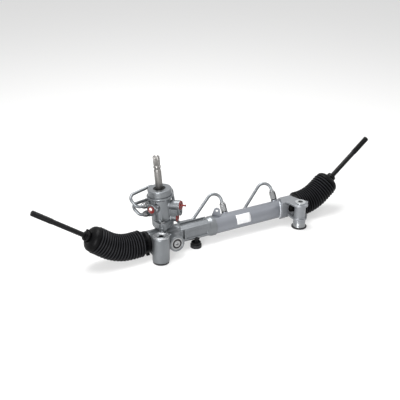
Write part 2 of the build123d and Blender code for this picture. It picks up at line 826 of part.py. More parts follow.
def make_inner_bulkhead():
    bulkhead = ring_x(tube_bore_radius, rack_bore_radius, tube_start_x, inner_bulkhead_end_x)
    seal_start_x = inner_bulkhead_end_x - rack_seal_length
    return bulkhead - bar_x(rack_seal_radius, seal_start_x, inner_bulkhead_end_x + 1)


def make_outer_bulkhead():
    bulkhead = ring_x(tube_bore_radius, rack_bore_radius, outer_bulkhead_start_x, right_stop_x)
    seal_end_x = outer_bulkhead_start_x + rack_seal_length
    return bulkhead - bar_x(rack_seal_radius, outer_bulkhead_start_x - 1, seal_end_x)


def make_rack_seals():
    bore = rack_radius + fit_gap
    inner = ring_x(rack_seal_radius, bore, inner_bulkhead_end_x - rack_seal_length, inner_bulkhead_end_x)
    outer = ring_x(rack_seal_radius, bore, outer_bulkhead_start_x, outer_bulkhead_start_x + rack_seal_length)
    return Compound(children=[inner, outer])


# Right bracket: a collar on the tube and two plates that hold the bush between them
def make_right_bracket():
    eye_place = Pos(right_eye_x, -right_eye_offset)
    bottom = bracket_lower_top - bracket_plate_thickness
    reach = bracket_collar_radius + 20
    collar = bar_x(bracket_collar_radius, bracket_start_x - reach, bracket_collar_end_x)
    collar += block((bracket_start_x - reach, bracket_end_x), (bracket_side_y, 0), (bottom, bracket_plate_top))
    side_edge = Pos(-reach, 0, 0) * Box(2 * reach, 4 * reach, 4 * reach)
    side_edge = Pos(bracket_start_x, 0, 0) * Rot(0, 0, -bracket_edge_turn) * side_edge
    collar -= side_edge
    window_middle = (bottom + bracket_plate_top) / 2
    window = bar_y(bracket_window_radius, -reach, 0, bracket_window_x, window_middle)
    window += block((bracket_window_x, bracket_end_x + 1), (-reach, 0),
                    (window_middle - bracket_window_radius, window_middle + bracket_window_radius))
    collar -= window
    shank = Pos((bracket_start_x + bracket_end_x) / 2, -6) * Rectangle(bracket_end_x - bracket_start_x, 14)
    plate = make_hull((eye_place * Circle(bracket_plate_radius) + shank).edges())
    ear = Pos(right_eye_x + bracket_plate_radius, -right_eye_offset + 3) * Circle(bracket_ear_radius)
    plate_low = bracket_plate_top - bracket_plate_thickness
    upper = Pos(0, 0, plate_low) * extrude(plate + ear, amount=bracket_plate_thickness)
    shank_middle = (bracket_collar_end_x + bracket_end_x) / 2
    shank_length = bracket_end_x - bracket_collar_end_x
    lower_shank = Pos(shank_middle, bracket_side_y + 4) * Rectangle(shank_length, 8)
    lower_face = make_hull((eye_place * Circle(bracket_plate_radius - 1) + lower_shank).edges())
    lower = Pos(0, 0, bottom) * extrude(lower_face + ear, amount=bracket_plate_thickness)
    eye = Pos(right_eye_x, -right_eye_offset, 0)
    shell = eye * bar_z(bracket_shell_radius, bracket_lower_top - 1, bracket_plate_top)
    pad = eye * bar_z(bracket_pad_radius, bracket_plate_top - 1, bracket_plate_top + bracket_pad_height)
    neck = bar_z(neck_radius, neck_bottom, bracket_lower_top, right_eye_x, -right_eye_offset)
    body = collar + upper + lower + shell + pad + neck
    cuff_reach = spigot_radius + boot_cuff_gap + boot_cuff_thickness
    body -= bar_x(tube_radius, bracket_start_x - reach, bracket_collar_end_x + 1)
    body -= bar_x(cuff_reach + boot_cuff_gap, bracket_collar_end_x, tube_end_x + 20)
    body -= bar_x(cuff_reach + clamp_thickness + 0.5, bracket_end_x, tube_end_x + 20)
    bore = bar_z(sleeve_radius + 3, neck_bottom - 1, bracket_plate_top + 10, right_eye_x, -right_eye_offset)
    return body - bore


def make_right_mount_rubber():
    place = Pos(right_eye_x, -right_eye_offset, 0)
    rubber = ring_z(sleeve_radius + 3, sleeve_radius, neck_bottom, bracket_plate_top + bracket_pad_height)
    flare = Cone(right_foot_radius, neck_radius - 1, 10, align=low_end)
    foot = Pos(0, 0, neck_bottom) * mirror(flare, Plane.XY)
    flange = ring_z(right_foot_radius - 2, sleeve_radius, -floor_drop, neck_bottom)
    rim = ring_z(right_foot_radius, sleeve_radius, -floor_drop + 2.5, -floor_drop + 9)
    return place * (rubber + flange + rim)


def make_right_mount_sleeve():
    top = bracket_plate_top + bracket_pad_height
    sleeve = ring_z(sleeve_radius, right_sleeve_bore_radius, sleeve_bottom, top + right_washer_thickness)
    return Pos(right_eye_x, -right_eye_offset, 0) * sleeve


def make_right_washer():
    bottom = bracket_plate_top + bracket_pad_height
    top = bottom + right_washer_thickness - 0.4
    return Pos(right_eye_x, -right_eye_offset, 0) * ring_z(right_washer_radius, sleeve_radius, bottom, top)


def make_left_mount_rubber():
    rubber = ring_z(bush_radius, sleeve_radius, eye_bottom, eye_top - 1)
    flange = ring_z(bush_flange_radius, sleeve_radius, -floor_drop, eye_bottom)
    return Pos(0, -rack_setback, 0) * (rubber + flange)


def make_left_mount_sleeve():
    return Pos(0, -rack_setback, 0) * ring_z(sleeve_radius, left_sleeve_bore_radius, sleeve_bottom, sleeve_top)


# Rubber-tipped foot on a stud under the ribbed case
def make_foot_stud(housing):
    post = bar_z(4.0, -floor_drop + foot_rubber_height, -8, foot_x, foot_y)
    rubber_top = -floor_drop + foot_rubber_height
    head = bar_z(foot_radius - 2, rubber_top, -floor_drop + foot_height + 2, foot_x, foot_y)
    start = Vector(foot_x + 2, foot_y + 2, -floor_drop + foot_height)
    end = Vector(foot_x + 16, foot_y + 14, -long_case_radius + 3)
    plane = Plane(origin=start, z_dir=(end - start).normalized(), x_dir=(1, 0, 0))
    strut = plane * Box(6, 9, (end - start).length, align=low_end)
    stud = post + head + strut - bar_z(foot_radius + 20, -floor_drop - 20, rubber_top, foot_x, foot_y)
    return stud - housing


def make_foot_rubber():
    return bar_z(foot_radius, -floor_drop, -floor_drop + foot_rubber_height, foot_x, foot_y)


def make_bracket_tab():
    hole = Pos(1.5, tab_height - tab_top_radius)
    outline = make_hull(Rectangle(tab_width, 2).edges() + (hole * Circle(tab_top_radius)).edges())
    plate = extrude(outline - hole * Circle(tab_hole_radius), amount=tab_thickness)
    place = Pos(tab_x, 4, tube_radius - 2.2) * Rot(0, 0, -tab_turn) * Rot(90, 0, 0)
    return place * plate - bar_x(tube_radius, tab_x - 30, tab_x + 30)


# Pressure pipes: straight runs joined by bends, from the tower to the cylinder ports
def make_hoop_points(port_x):
    nut_top = port_boss_height + port_seal_thickness + 1
    angle = math.radians(port_angle)
    outward = Vector(0, math.sin(angle), math.cos(angle))
    foot = Vector(port_x, 0, 0) + outward * nut_top
    corner = Vector(port_x, 0, 0) + outward * hoop_reach
    return [corner, foot]


def make_pipe(points, radii):
    path = FilletPolyline(*points, radius=radii)
    start = Plane(origin=path @ 0, z_dir=path % 0)
    return sweep(start * (Circle(pipe_radius) - Circle(pipe_bore_radius)), path=path)


def pipe_start(place, depth):
    location = tower_frame * place * Pos(0, 0, depth)
    return Vector(*location.position)


def make_left_pipe():
    port = pipe_port_places()[0]
    points = [pipe_start(port, -6), pipe_start(port, 30)] + [Vector(*corner) for corner in left_pipe_corners]
    return make_pipe(points + make_hoop_points(left_port_x), left_pipe_bends + [hoop_radius])


def make_right_pipe():
    port = pipe_port_places()[1]
    points = [pipe_start(port, -6), pipe_start(port, 26)] + [Vector(*corner) for corner in right_pipe_corners]
    return make_pipe(points + make_hoop_points(right_port_x), right_pipe_bends + [hoop_radius])


def make_pipe_nuts():
    nuts = []
    hexagon = RegularPolygon(nut_across_flats / 2, 6, major_radius=False)
    for x in (left_port_x, right_port_x):
        low = port_boss_height + port_seal_thickness
        nut = Pos(0, 0, low) * extrude(hexagon, amount=port_nut_length)
        nut += Pos(0, 0, low + port_nut_length) * bar_z(port_nut_collar_radius, 0, port_nut_collar_length)
        nuts.append(port_place(x) * (nut - bar_z(pipe_radius, 0, 90)))
    for place in pipe_port_places():
        nut = Pos(0, 0, 4) * extrude(hexagon, amount=11)
        nuts.append(tower_frame * place * (nut - bar_z(pipe_radius, 0, 90)))
    return Compound(children=nuts)


def make_port_seals():
    low = port_boss_height
    seals = [port_place(x) * ring_z(port_seal_radius, pipe_radius, low, low + port_seal_thickness)
             for x in (left_port_x, right_port_x)]
    return Compound(children=seals)


# Red transport plugs pushed into the open hydraulic ports
def make_port_plugs():
    upper, lower = side_port_places()
    sizes = ((upper, side_boss_upper_radius - 1, True), (lower, side_boss_lower_radius - 1, False),
             (front_port_place(), 8.0, False))
    plugs = []
    for place, radius, has_pull in sizes:
        plug = bar_z(plug_stem_radius, -plug_stem_length, 0) + bar_z(radius, 0, plug_cap_thickness)
        if has_pull:
            plug += bar_z(plug_pull_radius, 0, plug_pull_length)
        plugs.append(tower_frame * place * plug)
    return Compound(children=plugs)


# Ball joints: housing screwed on the rack end, plastic seat, and the rod with its ball
def side_sign(side):
    return -1 if side == "left" else 1


def ball_centre(side):
    return Vector(ball_left_x if side == "left" else ball_right_x, 0, 0)


def rod_direction(side):
    tilt = math.radians(rod_tilt)
    swing = math.radians(rod_swing)
    along = side_sign(side) * math.cos(swing) * math.cos(tilt)
    return Vector(along, math.sin(swing), math.cos(swing) * math.sin(tilt))


def socket_frame(side):
    return Plane(origin=ball_centre(side), z_dir=(side_sign(side), 0, 0), x_dir=(0, 1, 0)).location


def rod_frame(side):
    return Plane(origin=ball_centre(side), z_dir=rod_direction(side), x_dir=(0, 1, 0)).location


def make_ball_housing(side):
    body = bar_z(socket_radius, -socket_back, socket_front)
    body = chamfer(body.edges(), 1.5)
    flats = Box(socket_flat_width, 60, 10)
    body -= Pos(0, 0, -socket_back + 5) * (Box(60, 60, 10) - flats)
    mouth = math.tan(math.radians(socket_mouth_angle))
    body -= Sphere(rod_seat_radius)
    body -= cone_z(0.01, mouth * (socket_front + 4), 0, socket_front + 4)
    body -= bar_z(rod_ball_radius - 3, -rod_seat_radius - 2, 0)
    return socket_frame(side) * body


def make_lock_washer(side):
    washer = bar_z(lock_washer_radius, -socket_back - lock_washer_thickness, -socket_back)
    return socket_frame(side) * washer


def make_ball_seat(side):
    seat = Sphere(rod_seat_radius - seat_gap) - Sphere(rod_ball_radius + seat_gap)
    mouth = math.tan(math.radians(socket_mouth_angle + 4))
    seat -= cone_z(0.01, mouth * 30, 0, 30)
    seat -= bar_z(rod_ball_radius - 3, -rod_seat_radius - 2, 0)
    return socket_frame(side) * seat


def make_tie_rod(side):
    rod = Sphere(rod_ball_radius)
    rod += bar_z(rod_neck_radius, 0, rod_neck_length)
    rod += cone_z(rod_neck_radius, rod_shank_radius, rod_neck_length, rod_neck_length + 5)
    rod += bar_z(rod_shank_radius, rod_neck_length + 5, rod_length - rod_thread_length)
    thread = bar_z(rod_thread_radius, rod_length - rod_thread_length, rod_length)
    rod += chamfer(thread.edges(), 1.0)
    return rod_frame(side) * rod


# Bellows boots: a cuff on the housing, a folded sleeve that follows the bend, and a neck
def boot_bend():
    return math.degrees(math.acos(math.cos(math.radians(rod_tilt)) * math.cos(math.radians(rod_swing))))


def boot_frame(side):
    tilt = math.radians(rod_tilt)
    swing = math.radians(rod_swing)
    lift = Vector(0, math.sin(swing), math.cos(swing) * math.sin(tilt)).normalized()
    return Plane(origin=ball_centre(side), z_dir=(side_sign(side), 0, 0), x_dir=lift).location


def cuff_start(side):
    end = housing_end_x if side == "left" else tube_end_x
    return -abs(end - ball_centre(side).X)


def cuff_end(side):
    seat = boot_seat_x if side == "left" else right_cuff_start_x
    return -abs(seat - ball_centre(side).X)


def bend_radius():
    return boot_bend_reach / math.tan(math.radians(boot_bend() / 2))


def boot_place(station):
    # A place on the boot's centre line, at a distance from the start of its bend
    centre = bend_radius()
    angle = min(max(math.degrees(station / centre), 0.0), boot_bend())
    beyond = station - math.radians(angle) * centre
    return Pos(centre, 0, -boot_bend_reach) * Rot(0, angle, 0) * Pos(-centre, 0, beyond)


def make_fold():
    # One round fold: a ring with sloping sides whose foot is sunk in the sleeve
    foot = boot_root_radius - boot_wall / 2
    half = boot_fold_pitch / 2 - 0.15
    crest = boot_crest_width / 2
    outline = Polyline((foot, -half), (boot_crest_radius, -crest), (boot_crest_radius, crest), (foot, half),
                       close=True)
    return revolve(Plane.XZ * make_face(outline), axis=Axis.Z)


def make_boot(side):
    outer = boot_root_radius
    inner = boot_root_radius - boot_wall
    bend = boot_bend()
    bend_length = bend_radius() * math.radians(bend)
    cuff_inner = spigot_radius + boot_cuff_gap
    cuff_outer = cuff_inner + boot_cuff_thickness
    start = cuff_start(side)
    first = start + boot_shoulder_length
    cuff = ring_z(cuff_outer, cuff_inner, cuff_end(side), start)
    shoulder = cone_z(cuff_outer, outer, start, first) - cone_z(cuff_inner, inner, start, first)
    straight = ring_z(outer, inner, first, -boot_bend_reach)
    profile = Pos(0, 0, -boot_bend_reach) * (Circle(outer) - Circle(inner))
    bent = revolve(profile, axis=Axis((bend_radius(), 0, -boot_bend_reach), (0, 1, 0)), revolution_arc=bend)
    last_run = boot_end_reach - boot_bend_reach
    after = ring_z(outer, inner, 0, last_run)
    dome = boot_neck_start - boot_end_reach
    neck_inner = rod_shank_radius + boot_neck_gap
    outline = [Line((neck_inner, 0), (outer, 0)),
               ThreePointArc((outer, 0), (outer - 6.5, dome * 0.6), (boot_neck_radius, dome)),
               Line((boot_neck_radius, dome), (neck_inner, dome)), Line((neck_inner, dome), (neck_inner, 0))]
    cap = revolve(Plane.XZ * make_face(outline), axis=Axis.Z)
    hollow = [Line((0, -1), (inner, -1)), Line((inner, -1), (inner, 0)),
              ThreePointArc((inner, 0), (inner - 6.5, dome * 0.6 - boot_wall), (neck_inner, dome - boot_wall)),
              Line((neck_inner, dome - boot_wall), (0, dome - boot_wall)), Line((0, dome - boot_wall), (0, -1))]
    cap -= revolve(Plane.XZ * make_face(hollow), axis=Axis.Z)
    neck = ring_z(boot_neck_radius, neck_inner, 0, boot_neck_end - boot_neck_start)
    end = boot_place(bend_length)
    after = end * after
    cap = end * Pos(0, 0, last_run) * cap
    neck = end * Pos(0, 0, last_run + dome) * neck
    sleeve = cuff + shoulder + straight + bent + after + cap + neck
    run_start = first + boot_bend_reach
    run_end = bend_length + last_run
    fold_count = round((run_end - run_start) / boot_fold_pitch)
    step = (run_end - run_start) / fold_count
    folds = [boot_place(run_start + step * (i + 0.5)) * make_fold() for i in range(fold_count)]
    return boot_frame(side) * (sleeve + folds)


def clamp_middle(side):
    return cuff_start(side) - seat_length / 2


def make_boot_clamp(side):
    inner = spigot_radius + boot_cuff_gap + boot_cuff_thickness
    middle = clamp_middle(side)
    band = ring_z(inner + clamp_thickness, inner, middle - clamp_width / 2, middle + clamp_width / 2)
    knob_place = Rot(0, 0, side_sign(side) * clamp_knob_angle) * Pos(inner + clamp_knob_radius - 1, 0, middle)
    knob = knob_place * Cylinder(clamp_knob_radius, clamp_width)
    knob -= bar_z(inner, middle - 10, middle + 10)
    return boot_frame(side) * (band + knob)


def make_boot_clip(side):
    middle = (boot_neck_start + boot_neck_end) / 2
    inner = boot_neck_radius + clip_gap
    band = ring_z(inner + clip_thickness, inner, middle - clip_width / 2, middle + clip_width / 2)
    knob = Pos(boot_neck_radius + clip_knob_radius, 0, middle) * Cylinder(clip_knob_radius, clip_width + 2)
    knob = Rot(0, 0, -60) * knob
    knob -= bar_z(inner, middle - 10, middle + 10)
    return rod_frame(side) * (band + knob)


def all_nodes():
    housing = make_pinion_housing()
    nodes = {
        "pinion_housing": housing,
        "valve_housing": make_valve_housing(),
        "valve_housing_bolts": make_valve_bolts(),
        "tower_cap": make_tower_cap(),
        "input_shaft_bearing": make_shaft_bearing(),
        "input_shaft_dust_seal": make_dust_seal(),
        "pinion_bush": make_pinion_bush(),
        "pinion_oil_seal": make_pinion_seal(),
        "pinion_bearing_outer_race": make_outer_race(),
        "pinion_bottom_plug": make_bottom_plug(),
        "yoke": make_yoke(),
        "yoke_liner": make_yoke_liner(),
        "yoke_spring": make_yoke_spring(),
        "yoke_plug": make_yoke_plug(),
        "yoke_lock_ring": make_yoke_lock_ring(),
        "cylinder_tube": make_cylinder_tube(),
        "inner_bulkhead": make_inner_bulkhead(),
        "outer_bulkhead": make_outer_bulkhead(),
        "rack_seals": make_rack_seals(),
        "right_bracket": make_right_bracket(),
        "left_mount_rubber": make_left_mount_rubber(),
        "left_mount_sleeve": make_left_mount_sleeve(),
        "right_mount_rubber": make_right_mount_rubber(),
        "right_mount_sleeve": make_right_mount_sleeve(),
        "right_mount_washer": make_right_washer(),
        "foot_stud": make_foot_stud(housing),
        "foot_rubber": make_foot_rubber(),
        "left_chamber_pipe": make_left_pipe(),
        "right_chamber_pipe": make_right_pipe(),
        "pipe_nuts": make_pipe_nuts(),
        "port_seals": make_port_seals(),
        "port_plugs": make_port_plugs(),
        "pipe_bracket_tab": make_bracket_tab(),
        "rack_bar": make_rack_bar(),
        "piston": make_piston(),
        "piston_ring": make_piston_ring(),
        "pinion": make_pinion(),
        "torsion_bar": make_torsion_bar(),
        "valve_sleeve": make_valve_sleeve(),
        "valve_sleeve_rings": make_valve_rings(),
        "pinion_bearing_inner_race": make_inner_race(),
        "pinion_nut": make_pinion_nut(),
        "pinion_bearing_balls": make_bearing_balls(),
        "pinion_bearing_cage": make_bearing_cage(),
        "input_shaft": make_input_shaft(),
        "torsion_bar_pin": make_drive_pin(),
    }
    for side in ("left", "right"):
        nodes[side + "_boot"] = make_boot(side)
        nodes[side + "_boot_clamp"] = make_boot_clamp(side)
        nodes[side + "_boot_clip"] = make_boot_clip(side)
        nodes[side + "_ball_housing"] = make_ball_housing(side)
        nodes[side + "_lock_washer"] = make_lock_washer(side)
        nodes[side + "_ball_seat"] = make_ball_seat(side)
        nodes[side + "_tie_rod"] = make_tie_rod(side)
    return nodes


os.makedirs("parts", exist_ok=True)
to_row = Pos(0, rack_setback, 0)
for name, shape in all_nodes().items():
    export_step(to_row * shape, "parts/" + name + ".step")
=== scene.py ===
import json
import math

import bmesh
import bpy
from mathutils import Matrix, Vector


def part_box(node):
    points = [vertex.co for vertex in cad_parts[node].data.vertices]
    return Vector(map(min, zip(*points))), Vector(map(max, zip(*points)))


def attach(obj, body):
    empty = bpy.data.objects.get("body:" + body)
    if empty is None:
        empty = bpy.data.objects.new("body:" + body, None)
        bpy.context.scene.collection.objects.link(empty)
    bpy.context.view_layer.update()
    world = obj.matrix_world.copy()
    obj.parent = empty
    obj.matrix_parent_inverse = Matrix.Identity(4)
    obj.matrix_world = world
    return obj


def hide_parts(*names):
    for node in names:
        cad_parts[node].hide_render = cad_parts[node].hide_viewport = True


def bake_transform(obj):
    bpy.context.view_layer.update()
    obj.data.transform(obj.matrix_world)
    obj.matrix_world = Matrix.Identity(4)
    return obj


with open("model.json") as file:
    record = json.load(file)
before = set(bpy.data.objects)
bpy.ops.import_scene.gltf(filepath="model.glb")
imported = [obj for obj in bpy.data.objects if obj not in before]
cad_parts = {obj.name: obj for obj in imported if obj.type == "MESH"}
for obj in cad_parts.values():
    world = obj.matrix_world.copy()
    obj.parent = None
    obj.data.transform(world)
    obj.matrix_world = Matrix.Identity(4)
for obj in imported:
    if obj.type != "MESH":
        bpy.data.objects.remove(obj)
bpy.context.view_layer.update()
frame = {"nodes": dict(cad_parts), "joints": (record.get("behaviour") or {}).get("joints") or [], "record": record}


# Room: a white sweep of coated paper on a studio table. It is matte and a shade under white,
# and it only shows the soft shadow of the steering rack. The paper is drawn plain for the
# camera and for reflections, so it stays white there.
def linear(hex_colour):
    values = [int(hex_colour[i:i + 2], 16) / 255 for i in (1, 3, 5)]
    return [v / 12.92 if v <= 0.04045 else ((v + 0.055) / 1.055) ** 2.4 for v in values] + [1.0]


def add(material, kind, links=None, **settings):
    # Adds one node, gives it its settings, and fills its sockets with values or links
    node = material.node_tree.nodes.new(kind)
    for name, value in settings.items():
        setattr(node, name, value)
    for socket, value in (links or {}).items():
        if isinstance(value, bpy.types.NodeSocket):
            material.node_tree.links.new(value, node.inputs[socket])
        else:
            node.inputs[socket].default_value = value
    return node


def blank_material(name):
    material = bpy.data.materials.new(name)
    material.use_nodes = True
    material.node_tree.nodes.clear()
    return material


def seen_directly(material):
    # 1 for what the camera sees straight or in a mirror or glass, and 0 for light bounces
    ray = add(material, "ShaderNodeLightPath").outputs
    straight = add(material, "ShaderNodeMath", {0: ray["Is Camera Ray"], 1: ray["Is Glossy Ray"]},
                   operation="ADD")
    return add(material, "ShaderNodeMath", {0: straight.outputs[0], 1: ray["Is Transmission Ray"]},
               operation="ADD", use_clamp=True).outputs[0]


rack_middle = (0.2, 0.05, 0.05)
floor_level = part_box("foot_rubber")[0].z
paper_size = 9.0
paper_white = "#F4F4F3"
paper_glow_share = 0.55
room_brightness = 0.26
room_white = "#FFFFFF"

paper = blank_material("coated_backdrop_paper")
paper_matte = add(paper, "ShaderNodeBsdfDiffuse", {"Color": linear(paper_white)})
paper_glow = add(paper, "ShaderNodeEmission", {"Color": linear(room_white), "Strength": 1.0})
glow_share = add(paper, "ShaderNodeMath", {0: seen_directly(paper), 1: paper_glow_share},
                 operation="MULTIPLY")
paper_mix = add(paper, "ShaderNodeMixShader",
                {0: glow_share.outputs[0], 1: paper_matte.outputs[0], 2: paper_glow.outputs[0]})
add(paper, "ShaderNodeOutputMaterial", {"Surface": paper_mix.outputs[0]})

bpy.ops.mesh.primitive_plane_add(size=paper_size, location=(rack_middle[0], 0, floor_level))
floor = bpy.context.object
floor.name = "backdrop_floor"
floor.data.materials.append(paper)

world = bpy.data.worlds.new("studio")
bpy.context.scene.world = world
world.use_nodes = True
world.node_tree.nodes.clear()
room_light = add(world, "ShaderNodeBackground", {"Color": linear(room_white), "Strength": room_brightness})
room_seen = add(world, "ShaderNodeBackground", {"Color": linear(room_white), "Strength": 1.0})
room = add(world, "ShaderNodeMixShader",
           {0: seen_directly(world), 1: room_light.outputs[0], 2: room_seen.outputs[0]})
add(world, "ShaderNodeOutputWorld", {"Surface": room.outputs[0]})


def softbox(name, place, target, width, height, watts):
    lamp = bpy.data.lights.new(name, "AREA")
    lamp.shape = "RECTANGLE"
    lamp.size = width
    lamp.size_y = height
    lamp.energy = watts
    box = bpy.data.objects.new(name, lamp)
    box.location = place
    box.rotation_euler = (Vector(target) - Vector(place)).to_track_quat("-Z", "Y").to_euler()
    bpy.context.scene.collection.objects.link(box)


softbox("softbox_above", (0.0, 0.35, 1.5), rack_middle, 1.3, 0.8, 36)
softbox("strip_softbox_front_left", (-1.02, -0.90, 0.40), rack_middle, 0.22, 0.9, 22)
softbox("softbox_right", (1.6, -0.4, 0.9), rack_middle, 0.4, 0.8, 6)

# The camera looks down on the rack from in front, beyond its left end
camera = bpy.data.cameras.new("photograph")
camera.sensor_width = 36.0
camera.lens = 87.9
eye = bpy.data.objects.new("photograph", camera)
eye_place = (-0.9634, -1.8158, 1.1200)
to_right = Vector((0.8655, -0.5006, 0.0159))
to_top = Vector((0.2047, 0.3826, 0.9009))
eye_turn = Matrix((to_right, to_top, to_right.cross(to_top))).transposed().to_4x4()
eye.matrix_world = Matrix.Translation(eye_place) @ eye_turn
bpy.context.scene.collection.objects.link(eye)
bpy.context.scene.camera = eye
bpy.context.scene.view_settings.view_transform = "Standard"


# Castings: the pinion housing with its long arm, and the valve housing on top with its cap.
# They are die-cast aluminium alloy, blasted to an even matt grey. Cast edges are never sharp,
# so each casting is drawn again with its edges rounded over.
MM = 0.001


def surface(name, colours, metallic, roughness, roughness_spread, grain_mm, bump_mm,
            patch_mm=25.0, specular=0.5):
    # Two tones in broad patches, a fine grain in the gloss, and a bump of the same grain. In
    # the mix, sockets 6 and 7 are the two tones, and in the range 3 and 4 are its new ends
    material = blank_material(name)
    place = add(material, "ShaderNodeTexCoord").outputs["Object"]
    patches = add(material, "ShaderNodeTexNoise",
                  {"Vector": place, "Scale": 1 / (patch_mm * MM), "Detail": 3.0})
    grain = add(material, "ShaderNodeTexNoise",
                {"Vector": place, "Scale": 1 / (grain_mm * MM), "Detail": 2.0}).outputs["Fac"]
    tone = add(material, "ShaderNodeMix",
               {0: patches.outputs["Fac"], 6: linear(colours[0]), 7: linear(colours[1])}, data_type="RGBA")
    gloss = add(material, "ShaderNodeMapRange",
                {0: grain, 3: roughness - roughness_spread, 4: roughness + roughness_spread})
    bump = add(material, "ShaderNodeBump", {"Height": grain, "Distance": bump_mm * MM, "Strength": 1.0})
    shader = add(material, "ShaderNodeBsdfPrincipled",
                 {"Base Color": tone.outputs[2], "Metallic": metallic, "Roughness": gloss.outputs[0],
                  "Normal": bump.outputs[0], "Specular IOR Level": specular})
    add(material, "ShaderNodeOutputMaterial", {"Surface": shader.outputs[0]})
    return material


def recast(node, material, grid_mm, rounds):
    # A piece drawn from its CAD node on a fine grid and relaxed, which rounds its edges
    model = frame["nodes"][node]
    piece = bpy.data.objects.new(node + "_casting", model.data.copy())
    piece.matrix_world = model.matrix_world.copy()
    bpy.context.scene.collection.objects.link(piece)
    piece.data.materials.clear()
    piece.data.materials.append(material)
    grid = piece.modifiers.new("grid", "REMESH")
    grid.mode = "VOXEL"
    grid.voxel_size = grid_mm * MM
    grid.use_smooth_shade = True
    relax = piece.modifiers.new("relax", "SMOOTH")
    relax.factor = 0.5
    relax.iterations = rounds
    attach(piece, "housing")
    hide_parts(node)


# Blasted die-cast aluminium: a grey that is half matt, with a faint sparkle of shot marks
cast_alloy = surface("blasted_die_cast_aluminium", ("#66696C", "#7C7F82"), 0.78, 0.36, 0.07, 0.9, 0.06)
recast("pinion_housing", cast_alloy, 0.8, 2)
recast("valve_housing", cast_alloy, 0.7, 2)
recast("tower_cap", cast_alloy, 0.7, 3)


# Mounting bushes: steel sleeves in bonded rubber, pressed into the left eye and the right
# bracket. A pressed flange covers the left rubber. The right bush has a plated washer on top,
# and hangs below its bracket in a plain shell over a flat rubber foot.
def dress(material, *nodes):
    # Gives CAD nodes their finish
    for node in nodes:
        piece = frame["nodes"][node]
        piece.data.materials.clear()
        piece.data.materials.append(material)


def skin(name, rings, material, capped=False, closed=True, edge_angle=math.pi):
    # Quads between one ring of points and the next, smooth but for edges past the angle
    mesh = bmesh.new()
    rows = [[mesh.verts.new(point) for point in ring] for ring in rings]
    count = len(rings[0])
    for near, far in zip(rows, rows[1:]):
        for i in range(count if closed else count - 1):
            j = (i + 1) % count
            mesh.faces.new((near[i], near[j], far[j], far[i]))
    if capped:
        mesh.faces.new(list(reversed(rows[0])))
        mesh.faces.new(rows[-1])
    bmesh.ops.recalc_face_normals(mesh, faces=mesh.faces)
    data = bpy.data.meshes.new(name)
    mesh.to_mesh(data)
    mesh.free()
    data.shade_smooth()
    data.set_sharp_from_angle(angle=edge_angle)
    piece = bpy.data.objects.new(name, data)
    bpy.context.scene.collection.objects.link(piece)
    data.materials.append(material)
    return piece


def around(sides):
    # The angles of equal steps round a circle
    return [2 * math.pi * i / sides for i in range(sides)]


def standing(origin, direction):
    # A place with its Z along a direction
    return Matrix.Translation(origin) @ direction.to_track_quat("Z", "Y").to_matrix().to_4x4()


def turned(name, place, profile, material, sides=48, edge_angle=math.pi):
    # A lathe form of heights and radii in millimetres, where a radius may follow the angle
    angles = around(sides)
    rings = []
    for height, radius in profile:
        radii = [(radius(a) if callable(radius) else radius) * MM for a in angles]
        rings.append([place @ Vector((r * math.cos(a), r * math.sin(a), height * MM))
                      for a, r in zip(angles, radii)])
    return skin(name, rings, material, capped=True, edge_angle=edge_angle)


def mount_place(node):
    # The upright axis of a bush, at the level of the rack
    low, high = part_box(node)
    return standing(Vector(((low.x + high.x) / 2, (low.y + high.y) / 2, 0)), Vector((0, 0, 1)))


# Bonded rubber: dull charcoal in two close tones
bush_rubber = surface("bonded_bush_rubber", ("#161617", "#202022"), 0.0, 0.62, 0.05, 1.0, 0.04,
                      specular=0.3)
# Bright zinc plate: nearly white metal with a soft mirror
bright_zinc = surface("bright_zinc_plate", ("#B4B7B9", "#C6C9CA"), 0.9, 0.27, 0.05, 1.0, 0.01)
# Pressed bare steel: a mid grey metal, a little uneven
pressed_steel = surface("pressed_bare_steel", ("#7F8183", "#929496"), 0.85, 0.34, 0.06, 0.9, 0.02,
                        patch_mm=8.0)
dress(bush_rubber, "left_mount_rubber", "right_mount_rubber", "foot_rubber")
dress(bright_zinc, "left_mount_sleeve", "right_mount_sleeve", "right_mount_washer")

flange_profile = [(33.0, 10.6), (34.7, 10.9), (34.9, 14.4), (34.2, 15.0), (34.2, 15.8), (34.9, 16.4),
                  (34.7, 19.2), (34.0, 20.0), (33.0, 20.0)]
foot_profile = [(-34.4, 10.0), (-34.4, 18.6), (-33.8, 19.7), (-31.6, 19.9), (-30.9, 19.3), (-30.7, 14.6),
                (33.4, 14.4), (33.4, 9.3)]
shell_profile = [(-30.6, 14.8), (-30.5, 17.0), (-29.6, 16.4), (-28.0, 15.8), (-7.0, 15.8), (-6.4, 14.8)]
bush_flange = turned("left_bush_flange", mount_place("left_mount_sleeve"), flange_profile, pressed_steel)
bush_shell = turned("right_bush_shell", mount_place("right_mount_sleeve"), shell_profile, pressed_steel)
bush_foot = turned("right_bush_foot", mount_place("right_mount_sleeve"), foot_profile, bush_rubber)
for piece in (bush_flange, bush_shell, bush_foot):
    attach(piece, "housing")
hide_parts("right_mount_rubber")


# Cylinder tube: drawn steel, sprayed silver, with its port bosses and the tab for the pipes.
# A blank paper label is stuck on its front.
# Silver paint on drawn steel: a cool grey with an even satin sheen
silver_coat = surface("silver_paint_on_drawn_steel", ("#75787E", "#7F8288"), 0.55, 0.34, 0.03, 1.4, 0.01,
                      patch_mm=60.0)
dress(silver_coat, "cylinder_tube", "pipe_bracket_tab")

rack_radius = 13.0 * MM
rack_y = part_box("rack_bar")[0].y + rack_radius
tube_radius = 23.0 * MM


def on_tube(x, angle, radius):
    # A point round the tube, where 0 degrees is its front and 90 its top
    turn = math.radians(angle)
    return Vector((x, rack_y - radius * math.cos(turn), radius * math.sin(turn)))


def spread(first, last, steps):
    # Evenly spaced values from the first to the last
    return [first + (last - first) * i / steps for i in range(steps + 1)]


